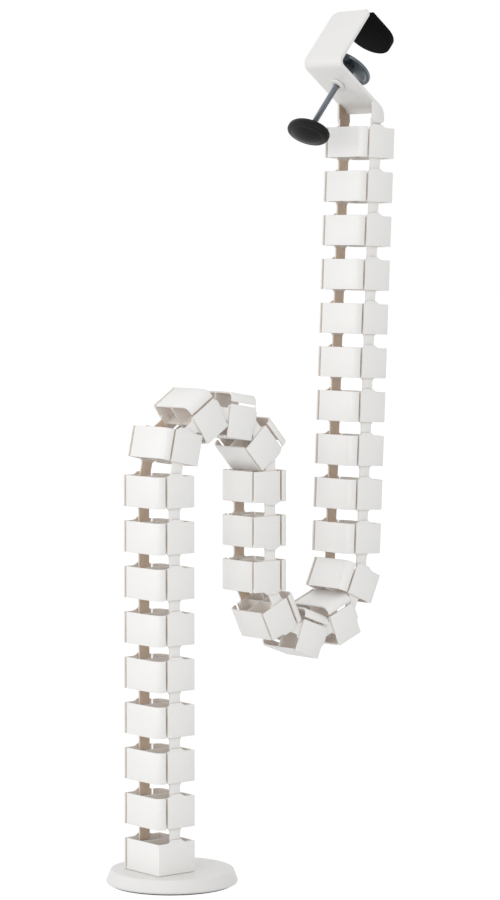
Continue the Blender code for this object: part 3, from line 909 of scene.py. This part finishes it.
@dataclass
class WeightedBase:
    """Round steel weight with a tapered rim, on a thin ribbed rubber pad."""

    radius: float = 0.0580
    top_radius: float = 0.0548
    thickness: float = 0.0120
    underside: float = 0.0013
    edge: float = 0.0020
    pad_radius: float = 0.0540
    pad_thickness: float = 0.0010
    groove: float = 0.0004
    groove_count: int = 5
    draft: float = 8.0
    rim_steps: int = 6
    steps: int = 128

    def plate(self) -> Workpiece:
        """Turn the weight, with rounded upper and lower rims.

        Returns:
            The weight in place.
        """
        work = Workpiece()
        top = self.underside + self.thickness
        profile = [(0.0, top), (self.top_radius - 3 * self.edge, top)]
        profile += rounded((self.top_radius - self.edge, top - self.edge), self.edge,
                           90.0, self.draft, self.rim_steps)
        profile += rounded((self.radius - self.edge, self.underside + self.edge), self.edge,
                           self.draft, -90.0, self.rim_steps)
        profile += [(self.radius - 3 * self.edge, self.underside), (0.0, self.underside)]
        work.lathe(profile, self.steps)
        return work

    def pad(self) -> Workpiece:
        """Turn the rubber pad, with rings pressed in its underside.

        Returns:
            The pad in place.
        """
        work = Workpiece()
        profile = [(0.0, self.pad_thickness), (self.pad_radius, self.pad_thickness),
                   (self.pad_radius, 0.0)]
        stride = self.pad_radius / (self.groove_count + 1)
        for ring in range(self.groove_count, 0, -1):
            radius = ring * stride
            profile += [(radius + self.groove * 3, 0.0), (radius + self.groove * 2, self.groove),
                        (radius - self.groove * 2, self.groove), (radius - self.groove * 3, 0.0)]
        work.lathe(profile + [(0.0, 0.0)], self.steps)
        return work

    def build(self, finishes: dict[str, bpy.types.Material]) -> None:
        """Place the weight and its pad.

        Args:
            finishes: Materials by the names of the finishes.
        """
        Piece("dressed_base_plate", self.plate().finish("base_plate"), finishes["base_coat"],
              "base", ("base_plate",), "base_coat")
        Piece("dressed_foot_pad", self.pad().finish("foot_pad"), finishes["foot_rubber"],
              "base", ("base_foot_pad",), "foot_rubber")


@dataclass
class Clamp:
    """Bent bracket with its rubber cap, screw, oval knob and pressure disc."""

    pivot: Vector
    finishes: dict[str, bpy.types.Material]
    link: Link = field(default_factory=Link)
    tilt: float = 38.2
    strip: float = 0.0030
    back: float = 0.0603
    jaw: float = 0.0470
    jaw_half: float = 0.0190
    jaw_bend: float = 0.0050
    fold_bend: float = 0.0060
    arm: float = 0.0665
    ear_bend: float = 0.0120
    ear_drop: float = 0.0070
    ear_offset: float = 0.0060
    ear_rise: float = 0.0224
    ear_thickness: float = 0.0030
    ear_front: float = 0.0065
    ear_lift: float = 0.0105
    ear_tongue_top: float = 0.0150
    ear_round: float = 0.0028
    ear_taper: float = 0.0012
    window_top: float = 0.0198
    back_corner: float = 0.0058
    cap_half: float = 0.0230
    cap_length: float = 0.0460
    cap_start: float = 0.0045
    cap_roof: float = 0.0012
    cap_sole: float = 0.0046
    cap_round: float = 0.0018
    screw_axis: float = 0.0265
    rod_radius: float = 0.00275
    rod_root: float = 0.00222
    rod_pitch: float = 0.0020
    nut_radius: float = 0.0045
    flange_radius: float = 0.0070
    flange: float = 0.0025
    disc_radius: float = 0.0230
    disc_height: float = 0.0152
    disc_thickness: float = 0.0031
    hub_radius: float = 0.0070
    hub_length: float = 0.0060
    knob_top: float = 0.0535
    knob_thickness: float = 0.0090
    knob_half_length: float = 0.0245
    knob_half_width: float = 0.0165
    knob_taper: float = 0.06
    knob_round: float = 0.0040
    knob_dome: float = 0.0045
    dish_share: float = 0.30
    crown_rings: tuple[float, ...] = (0.2, 0.4, 0.6, 0.75)
    fold_steps: int = 8
    jaw_steps: int = 14
    cap_steps: int = 18
    edge_steps: int = 3
    rim_steps: int = 6
    nut_steps: int = 48
    disc_steps: int = 72
    disc_rim_steps: int = 4
    knob_steps: int = 96
    collar_steps: int = 40

    @property
    def frame(self) -> Matrix:
        """The clamp's frame: x across the arm, z along the back plate.

        Returns:
            Where the fold between back plate and arm lies, and how it is turned.
        """
        corner = self.pivot + Vector((self.ear_offset, 0.0, self.ear_rise))
        fold = corner - heading_vector(self.tilt + 90) * self.arm
        return Matrix.Translation(fold) @ swing(self.tilt)

    @property
    def axis(self) -> Matrix:
        """The screw's frame, with +Z towards the jaw."""
        return self.frame @ Matrix.Translation((self.screw_axis, 0.0, 0.0))

    def sheet(self) -> bmesh.types.BMesh:
        """Middle surface of the bent strip: jaw, back plate, arm and its turned-down end.

        Returns:
            The surface in the clamp's frame.
        """
        half = self.link.width / 2
        sheet = bmesh.new()
        back = [sheet.verts.new((0.0, y, z)) for y, z in
                ((-half, 0.0), (half, 0.0), (half, self.back), (self.jaw_half, self.back),
                 (-self.jaw_half, self.back), (-half, self.back))]
        sheet.faces.new(back)
        tongue = [back[4], back[3]] + [sheet.verts.new((self.jaw, y, self.back))
                                       for y in (self.jaw_half, -self.jaw_half)]
        sheet.faces.new(tongue)
        arm = [back[1], back[0]] + [sheet.verts.new((self.arm, y, 0.0)) for y in (-half, half)]
        sheet.faces.new(arm)
        down = math.radians(180 - self.tilt)
        end = (self.arm + self.ear_drop * math.sin(down), self.ear_drop * math.cos(down))
        lip = [arm[3], arm[2]] + [sheet.verts.new((end[0], y, end[1])) for y in (-half, half)]
        sheet.faces.new(lip)
        bevel(sheet, [back[2], back[5]], self.back_corner, self.fold_steps, "VERTICES")
        bevel(sheet, tongue[2:], self.jaw_half * NEARLY_ALL, self.jaw_steps, "VERTICES")
        self._fold(sheet, Vector((0.0, 0.0, self.back)), self.jaw_bend)
        self._fold(sheet, Vector((0.0, 0.0, 0.0)), self.fold_bend)
        reach = self.ear_bend * math.tan(math.radians(90 - self.tilt) / 2)
        self._fold(sheet, Vector((self.arm, 0.0, 0.0)), reach)
        return sheet

    def _fold(self, sheet: bmesh.types.BMesh, middle: Vector, reach: float) -> None:
        """Round one fold of the sheet.

        Args:
            sheet: The middle surface.
            middle: A point on the fold's line.
            reach: How far the rounding reaches on both sides.
        """
        folds = [edge for edge in sheet.edges if len(edge.link_faces) == 2
                 and all(abs(vert.co.x - middle.x) < WELD and abs(vert.co.z - middle.z) < WELD
                         for vert in edge.verts)]
        bevel(sheet, folds, reach, self.fold_steps)

    def bracket(self) -> bpy.types.Mesh:
        """Bent strip with its ears and the tongues that clip on the top link.

        Returns:
            The bracket in place.
        """
        work = Workpiece()
        strip = self.thickened(self.sheet())
        bmesh.ops.transform(strip, matrix=self.frame, verts=strip.verts[:])
        window = self.pivot.z + self.window_top
        cut = bmesh.ops.bisect_plane(strip, geom=strip.verts[:] + strip.edges[:] + strip.faces[:],
                                     plane_co=(0.0, 0.0, window), plane_no=(0.0, 0.0, 1.0),
                                     dist=WELD, clear_inner=True)
        bmesh.ops.holes_fill(strip, edges=[item for item in cut["geom_cut"]
                                           if isinstance(item, bmesh.types.BMEdge)], sides=0)
        work.take(strip)
        lugs = Workpiece()
        outline = self.ear_outline()
        last = len(outline)
        half = self.link.width / 2 + self.link.gap / 5
        outer = self.link.plate_inner - self.link.gap
        eye_strap = rounded((0.0, 0.0), self.link.tongue_half, 180.0, 360.0,
                            self.link.eye_steps)
        eye_strap += [(self.link.tongue_half, self.ear_tongue_top),
                      (-self.link.tongue_half, self.ear_tongue_top)]
        for side in Side:
            low, high = sorted((side.value * (half - self.ear_thickness), side.value * half))
            lugs.prism(outline, Plane.XZ, low, high, {self.ear_round: [last - 2, last - 1]},
                       self.link.rim)
            low, high = sorted((side.value * (outer - self.link.tongue_thickness),
                                side.value * outer))
            lugs.pierced(eye_strap, ((0.0, 0.0), self.link.eye_radius), Plane.XZ, low, high,
                         self.link.rim / 2)
        self.mark_ears(lugs)
        work.take(lugs.shape, Matrix.Translation(self.pivot))
        return work.finish("bracket")

    def mark_ears(self, lugs: Workpiece) -> None:
        """Mark the faces of the ears that look at each other for painted shade, warm and dark where
        the light is low.

        Args:
            lugs: The workpiece that holds the ears and their tongues.
        """
        layer = lugs.shape.loops.layers.float.new(SHADE_LAYER)
        for face in lugs.shape.faces:
            inwards = face.normal.y * face.calc_center_median().y < -self.link.gap
            for corner in face.loops:
                corner[layer] = 1.0 if inwards else 0.0

    def thickened(self, sheet: bmesh.types.BMesh) -> bmesh.types.BMesh:
        """Give a middle surface the strip's thickness and broken edges.

        Args:
            sheet: The middle surface, which is freed here.

        Returns:
            The closed strip.
        """
        bmesh.ops.recalc_face_normals(sheet, faces=sheet.faces[:])
        mesh = bpy.data.meshes.new("sheet")
        sheet.to_mesh(mesh)
        sheet.free()
        thing = bpy.data.objects.new("sheet", mesh)
        bpy.context.scene.collection.objects.link(thing)
        wall = thing.modifiers.new("wall", "SOLIDIFY")
        wall.thickness = self.strip
        wall.offset = 0.0
        wall.use_even_offset = True
        edge = thing.modifiers.new("edge", "BEVEL")
        edge.width = self.link.rim * 1.5
        edge.segments = self.edge_steps
        edge.limit_method = "ANGLE"
        edge.angle_limit = RIM_ANGLE
        done = bmesh.new()
        done.from_object(thing, bpy.context.evaluated_depsgraph_get())
        bpy.data.objects.remove(thing)
        bpy.data.meshes.remove(mesh)
        return done

    def ear_outline(self) -> list[Point]:
        """Ear seen along the hinge, from the pivot: it fills the corner under the bent arm.

        Returns:
            The outline in order, with its two lower corners last.
        """
        frame = Matrix.Translation(-self.pivot) @ self.frame
        start = self.arm - (self.ear_offset + self.ear_front) / math.cos(math.radians(self.tilt))
        turn = 90 - self.tilt
        run = self.ear_bend * math.tan(math.radians(turn) / 2)
        centre = (self.arm - run, -self.ear_bend)
        skin = self.strip / 2 + self.link.gap / 5
        covered = [(start, skin)] + rounded(centre, self.ear_bend + skin, 90.0, 90.0 - turn,
                                            self.fold_steps)
        points = []
        for across, along in covered:
            spot = frame @ Vector((across, 0.0, along))
            points.append((spot.x, spot.z))
        end = points[-1][0]
        return points + [(end, self.ear_lift), (self.ear_taper - self.ear_front, self.ear_lift)]

    def cap(self) -> bpy.types.Mesh:
        """Thick rubber cap on the jaw, with soft edges and a round end.

        Returns:
            The cap in place.
        """
        work = Workpiece()
        low = self.back - self.strip / 2 - self.link.gap - self.cap_sole
        high = self.back + self.strip / 2 + self.link.gap + self.cap_roof
        end = self.cap_start + self.cap_length
        outline = [(self.cap_start, -self.cap_half), (end, -self.cap_half), (end, self.cap_half),
                   (self.cap_start, self.cap_half)]
        work.prism(outline, Plane.XY, low, high, {self.cap_half * NEARLY_ALL: [1, 2]},
                   self.cap_round, steps=self.cap_steps, segments=self.edge_steps + 1)
        return work.finish("cap", self.frame)

    def nut(self) -> bpy.types.Mesh:
        """Flanged insert in the arm.

        Returns:
            The insert in place.
        """
        work = Workpiece()
        bore = self.rod_radius + self.link.gap
        top = self.strip / 2 + self.link.gap
        seat = -self.strip / 2 - self.link.gap
        rim = self.link.rim
        profile = [(bore + rim, top), (self.nut_radius - rim, top), (self.nut_radius, top - rim),
                   (self.nut_radius, seat), (self.flange_radius - rim, seat),
                   (self.flange_radius, seat - rim), (self.flange_radius, seat - self.flange + rim),
                   (self.flange_radius - rim, seat - self.flange), (bore + rim, seat - self.flange),
                   (bore, seat - self.flange + rim), (bore, top - rim)]
        work.lathe(profile, self.nut_steps, closed=True)
        return work.finish("nut", self.axis)

    def screw(self) -> bpy.types.Mesh:
        """Threaded bar from the knob to the disc's hub.

        Returns:
            The bar in place.
        """
        work = Workpiece()
        low = -self.knob_top - self.knob_thickness / 2
        work.thread(self.rod_radius, self.rod_root, self.rod_pitch, low,
                    self.disc_height - self.link.gap)
        return work.finish("screw", self.axis)

    def disc(self) -> bpy.types.Mesh:
        """Pressure disc: flat face to the desk, a dished back and a hub on the screw.

        Returns:
            The disc in place.
        """
        work = Workpiece()
        top = self.disc_height + self.disc_thickness
        low = self.disc_height
        edge = self.disc_thickness / 4
        dish = self.disc_thickness * self.dish_share
        bore = self.rod_radius + self.link.gap
        profile = [(0.0, top), (self.disc_radius - 3 * edge, top)]
        profile += rounded((self.disc_radius - edge, top - edge), edge, 90.0, 0.0,
                           self.disc_rim_steps)
        profile += rounded((self.disc_radius - edge, low + edge), edge, 0.0, -90.0,
                           self.disc_rim_steps)
        profile += [(self.disc_radius - 4 * edge, low), (self.disc_radius - 6 * edge, low + dish),
                    (self.hub_radius + 4 * edge, low + dish), (self.hub_radius + edge, low)]
        profile += [(self.hub_radius, low - edge), (self.hub_radius, low - self.hub_length + edge),
                    (self.hub_radius - edge, low - self.hub_length), (bore, low - self.hub_length),
                    (bore, low), (0.0, low)]
        work.lathe(profile, self.disc_steps)
        return work.finish("disc", self.axis)

    def knob(self) -> bpy.types.Mesh:
        """Long oval knob: a domed pad with soft rims and a collar round the screw.

        Returns:
            The knob in place.
        """
        work = Workpiece()
        pad = bmesh.new()
        middle = -self.knob_top - self.knob_thickness / 2
        half = self.knob_thickness / 2
        edge = self.knob_round / self.knob_half_width
        crown = [(0.0, -half - self.knob_dome)]
        crown += [(radius, -half - self.knob_dome * (1.0 - (radius / (1.0 - edge)) ** 2))
                  for radius in self.crown_rings]
        brim = [(1.0 - edge + edge * u, v * (half - self.knob_round) + v * self.knob_round * w)
                for v, turns in ((-1.0, self.rim_arc()), (1.0, self.rim_arc()[::-1]))
                for u, w in turns]
        profile = crown + brim + [(0.0, half)]
        revolve(pad, profile, self.knob_steps)
        for vert in pad.verts:
            vert.co.x *= 1.0 - self.knob_taper * vert.co.y ** 2
        bmesh.ops.scale(pad, vec=(self.knob_half_width, self.knob_half_length, 1.0),
                        verts=pad.verts[:])
        bmesh.ops.translate(pad, vec=(0.0, 0.0, middle), verts=pad.verts[:])
        work.take(pad)
        collar = self.rod_radius * 2
        rise = self.link.rim * 2
        profile = [(0.0, -self.knob_top + rise), (collar - rise, -self.knob_top + rise),
                   (collar, -self.knob_top), (collar, middle), (0.0, middle)]
        work.lathe(profile, self.collar_steps)
        return work.finish("knob", self.axis)

    def rim_arc(self) -> list[Point]:
        """Quarter circle from the flat to the side: reach outwards and height, both as shares."""
        turns = (math.pi / 2 * step / self.rim_steps for step in range(self.rim_steps + 1))
        return [(math.sin(turn), math.cos(turn)) for turn in turns]

    def build(self) -> None:
        """Place every piece of the clamp."""
        rows = (
            ("bracket", self.bracket(), "bracket_coat", "clamp", "clamp_bracket", "bracket_coat"),
            ("jaw_cap", self.cap(), "cap_rubber", "clamp", "clamp_jaw_cap", "cap_rubber"),
            ("nut", self.nut(), "bracket_coat", "clamp", "clamp_nut", "bracket_coat"),
            ("disc", self.disc(), "disc_gloss", "disc", "pressure_disc", "disc_steel"),
            ("screw", self.screw(), "screw_steel", "screw", "clamp_screw", "steel"),
            ("knob", self.knob(), "knob_plastic", "screw", "clamp_knob", "knob_plastic"),
        )
        for name, mesh, finish, body, node, slot in rows:
            Piece(f"dressed_{name}", mesh, self.finishes[finish], body, (node,), slot)


@dataclass
class Studio:
    """White floor, an even sky, two soft lamps from the left and the photograph's camera."""

    aim: tuple[float, float, float] = (0.0888, 0.0, 0.3791)
    azimuth: float = -39.3
    elevation: float = 3.62
    distance: float = 2.80
    focal_px: float = 3138.0
    frame_height_px: float = 900.0
    sensor: float = 36.0
    floor_size: float = 60.0
    floor_drop: float = 0.0002
    floor_white: str = "#E7E7E7"
    floor_roughness: float = 0.9
    floor_glow: float = 1.16
    floor_glow_share: float = 0.80
    sky_level: float = 0.825
    lamp_elevation: float = 10.0
    lamp_reach: float = 2.6
    lamp_size: float = 1.4
    front_azimuth: float = -60.0
    front_watts: float = 13.3
    back_azimuth: float = -122.0
    back_watts: float = 7.0

    def direction(self, azimuth: float, elevation: float) -> Vector:
        """Unit vector from the object to a viewpoint.

        Args:
            azimuth: Where the viewpoint stands round the object, in degrees.
            elevation: How high, in degrees.

        Returns:
            The vector.
        """
        turn, lift = math.radians(azimuth), math.radians(elevation)
        return Vector((math.sin(turn) * math.cos(lift), -math.cos(turn) * math.cos(lift),
                       math.sin(lift)))

    def hang(self, name: str, data: bpy.types.ID, azimuth: float, elevation: float,
             reach: float) -> bpy.types.Object:
        """Place a camera or lamp so that it looks at the object's middle.

        Args:
            name: Name of the object.
            data: Its camera or lamp.
            azimuth: Where it stands round the object, in degrees.
            elevation: How high, in degrees.
            reach: Its distance.

        Returns:
            The object.
        """
        thing = bpy.data.objects.new(name, data)
        bpy.context.scene.collection.objects.link(thing)
        back = self.direction(azimuth, elevation)
        thing.location = Vector(self.aim) + back * reach
        thing.rotation_mode = "QUATERNION"
        thing.rotation_quaternion = (-back).to_track_quat("-Z", "Y")
        return thing

    def camera(self) -> None:
        """Stand the camera where the photograph was taken from."""
        data = bpy.data.cameras.new("camera")
        data.sensor_width = self.sensor
        data.lens = self.focal_px / self.frame_height_px * self.sensor
        data.clip_end = 2 * self.floor_size
        bpy.context.scene.camera = self.hang("camera", data, self.azimuth, self.elevation,
                                             self.distance)

    def lamp(self, name: str, azimuth: float, watts: float) -> None:
        """Hang one soft square lamp.

        Args:
            name: Name of the lamp.
            azimuth: Where it stands round the object, in degrees.
            watts: Its strength.
        """
        data = bpy.data.lights.new(name, "AREA")
        data.size = self.lamp_size
        data.energy = watts
        self.hang(name, data, azimuth, self.lamp_elevation, self.lamp_reach)

    def seen(self, tree: bpy.types.NodeTree) -> bpy.types.NodeSocket:
        """One for camera, glossy and transmission rays, and nought for the rest.

        Args:
            tree: Tree that the switch is added to.

        Returns:
            The switch's socket.
        """
        path = add_node(tree, "ShaderNodeLightPath")
        socket = path.outputs["Is Camera Ray"]
        for name in ("Is Glossy Ray", "Is Transmission Ray"):
            socket = add_node(tree, "ShaderNodeMath", {"operation": "MAXIMUM"},
                              {0: socket, 1: path.outputs[name]}).outputs[0]
        return socket

    def sky(self) -> None:
        """Even grey light, with a white background for the camera and for reflections."""
        world = bpy.data.worlds.new("sky")
        world.use_nodes = True
        bpy.context.scene.world = world
        tree = world.node_tree
        tree.nodes.clear()
        level = add_node(tree, "ShaderNodeMapRange", inputs={
            "Value": self.seen(tree), "To Min": self.sky_level, "To Max": 1.0})
        light = add_node(tree, "ShaderNodeBackground", inputs={
            "Color": (1.0, 1.0, 1.0, 1.0), "Strength": level.outputs["Result"]})
        add_node(tree, "ShaderNodeOutputWorld", inputs={"Surface": light.outputs["Background"]})

    def floor(self) -> None:
        """White floor that keeps a faint shadow of the object."""
        shape = bmesh.new()
        bmesh.ops.create_grid(shape, x_segments=1, y_segments=1, size=self.floor_size / 2)
        mesh = bpy.data.meshes.new("floor")
        shape.to_mesh(mesh)
        shape.free()
        thing = bpy.data.objects.new("floor", mesh)
        thing.location = (0.0, 0.0, -self.floor_drop)
        bpy.context.scene.collection.objects.link(thing)
        made = bpy.data.materials.new("floor_white")
        made.use_nodes = True
        tree = made.node_tree
        tree.nodes.clear()
        paint = add_node(tree, "ShaderNodeBsdfPrincipled", inputs={
            "Base Color": linear(self.floor_white), "Roughness": self.floor_roughness})
        glow = add_node(tree, "ShaderNodeEmission", inputs={"Strength": self.floor_glow})
        share = add_node(tree, "ShaderNodeMapRange", inputs={
            "Value": self.seen(tree), "To Max": self.floor_glow_share})
        blend = add_node(tree, "ShaderNodeMixShader", inputs={
            0: share.outputs["Result"], 1: paint.outputs["BSDF"], 2: glow.outputs["Emission"]})
        add_node(tree, "ShaderNodeOutputMaterial", inputs={"Surface": blend.outputs["Shader"]})
        mesh.materials.append(made)

    def build(self) -> None:
        """Set the whole studio up."""
        bpy.context.scene.view_settings.view_transform = "Standard"
        self.camera()
        self.sky()
        self.floor()
        self.lamp("front_lamp", self.front_azimuth, self.front_watts)
        self.lamp("back_lamp", self.back_azimuth, self.back_watts)


def corners(box: tuple[Vector, Vector]) -> list[list[float]]:
    """A box as plain lists of numbers."""
    return [[float(value) for value in corner] for corner in box]


def main() -> None:
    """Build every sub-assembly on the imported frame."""
    logging.basicConfig(level=logging.INFO, format="%(levelname)s %(message)s")
    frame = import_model()
    library = Finishes()
    finishes = {item.name: getattr(library, item.name).material() for item in fields(library)}
    chain = Chain(frame["joints"], finishes)
    chain.build()
    WeightedBase().build(finishes)
    Clamp(chain.pins()[-1], finishes).build()
    Studio().build()


if __name__ == "__main__":
    main()
